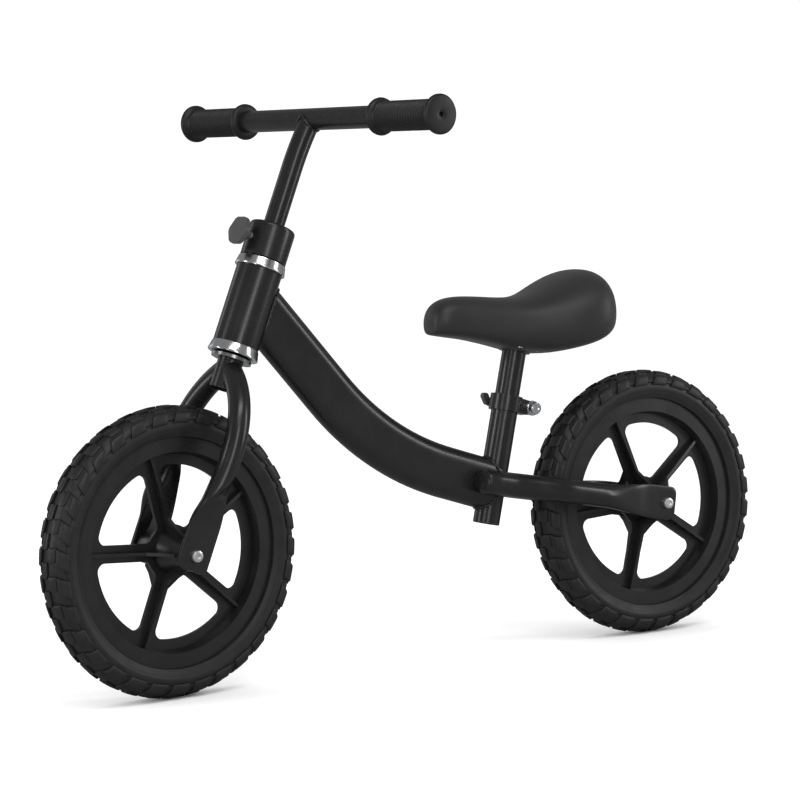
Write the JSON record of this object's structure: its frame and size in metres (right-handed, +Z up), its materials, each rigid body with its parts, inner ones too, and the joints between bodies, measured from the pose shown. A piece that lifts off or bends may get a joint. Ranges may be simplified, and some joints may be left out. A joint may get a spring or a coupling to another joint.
{
  "type": "balance bike",
  "caption": "Child's pedal-free balance bike with foam tyres, moulded spoked rims, a low oval-beam frame and a height-adjustable saddle and handlebar.",
  "frame": {"origin": "on the floor, midway along and across the whole bike, which is midway between the axles", "axes": "+X towards the front wheel, +Y to the rider's left, +Z up"},
  "size_m": [0.8676, 0.4075, 0.5846],
  "materials": {
    "frame_paint": "satin black powder coat",
    "chrome": "polished",
    "bare_steel": "zinc plated",
    "rim_plastic": "moulded nylon",
    "foam": "matte foamed EVA",
    "grip_rubber": "matte",
    "knob_plastic": "moulded, dark grey",
    "lever_plastic": "moulded, black",
    "saddle_cover": "matte artificial leather over foam",
    "board": "raw plywood"
  },
  "bodies": {
    "frame": {"main_beam": "frame_paint", "head_tube": "frame_paint", "seat_tube": "frame_paint", "chain_stay_left": "frame_paint", "chain_stay_right": "frame_paint", "headset_cup_upper": "chrome", "headset_cup_lower": "chrome", "headset_balls_upper": "bare_steel", "headset_balls_lower": "bare_steel", "seat_clamp_band": "frame_paint", "seat_clamp_skewer": "bare_steel", "seat_clamp_nut": "chrome", "seat_clamp_washers": "chrome", "seat_clamp_pin": "bare_steel", "rear_axle": "bare_steel", "rear_axle_nuts": "bare_steel", "rear_axle_spacers": "bare_steel"},
    "fork": {"fork_steerer": "frame_paint", "fork_leg_left": "frame_paint", "fork_leg_right": "frame_paint", "crown_race": "bare_steel", "upper_race_nut": "bare_steel", "clamp_collar": "frame_paint", "front_axle": "bare_steel", "front_axle_nuts": "bare_steel", "front_axle_spacers": "bare_steel"},
    "knob": {"clamp_screw": "bare_steel", "clamp_knob": "knob_plastic"},
    "handlebar": {"handlebar_stem": "frame_paint", "handlebar_tube": "frame_paint", "grip_left": "grip_rubber", "grip_right": "grip_rubber"},
    "front_wheel": {"front_rim": "rim_plastic", "front_tyre": "foam", "front_wheel_bearings": "bare_steel"},
    "rear_wheel": {"rear_rim": "rim_plastic", "rear_tyre": "foam", "rear_wheel_bearings": "bare_steel"},
    "seat": {"seat_post": "frame_paint", "saddle_bracket": "frame_paint", "saddle_base": "board", "saddle_screws": "bare_steel", "saddle_cushion": "saddle_cover", "saddle_staples": "bare_steel"},
    "lever": {"seat_clamp_lever": "lever_plastic"}
  },
  "joints": [
    {"name": "steering", "type": "hinge", "parent": "frame", "child": "fork", "pos_m": [0.2915, 0, 0.1425], "axis": [-0.3907, 0, 0.9205], "continuous": true},
    {"name": "front_wheel_spin", "type": "hinge", "parent": "fork", "child": "front_wheel", "pos_m": [0.2915, 0, 0.1425], "axis": [-0.0898, 0.9952, -0.0381], "continuous": true},
    {"name": "rear_wheel_spin", "type": "hinge", "parent": "frame", "child": "rear_wheel", "pos_m": [-0.2915, 0, 0.1425], "axis": [0, 1, 0], "continuous": true},
    {"name": "handlebar_height", "type": "slide", "parent": "fork", "child": "handlebar", "axis": [-0.3907, 0, 0.9205], "range_m": [-0.035, 0.04]},
    {"name": "clamp_knob_turn", "type": "hinge", "parent": "fork", "child": "knob", "pos_m": [0.16709, 0, 0.43559], "axis": [0.9161, 0.0976, 0.3889], "range_deg": [0, 270]},
    {"name": "seat_height", "type": "slide", "parent": "frame", "child": "seat", "axis": [-0.2445, 0, 0.9697], "range_m": [-0.033, 0.05]},
    {"name": "seat_clamp_lever_swing", "type": "hinge", "parent": "frame", "child": "lever", "pos_m": [-0.1417, -0.02, 0.25333], "axis": [0.2445, 0, -0.9697], "range_deg": [0, 150]}
  ]
}
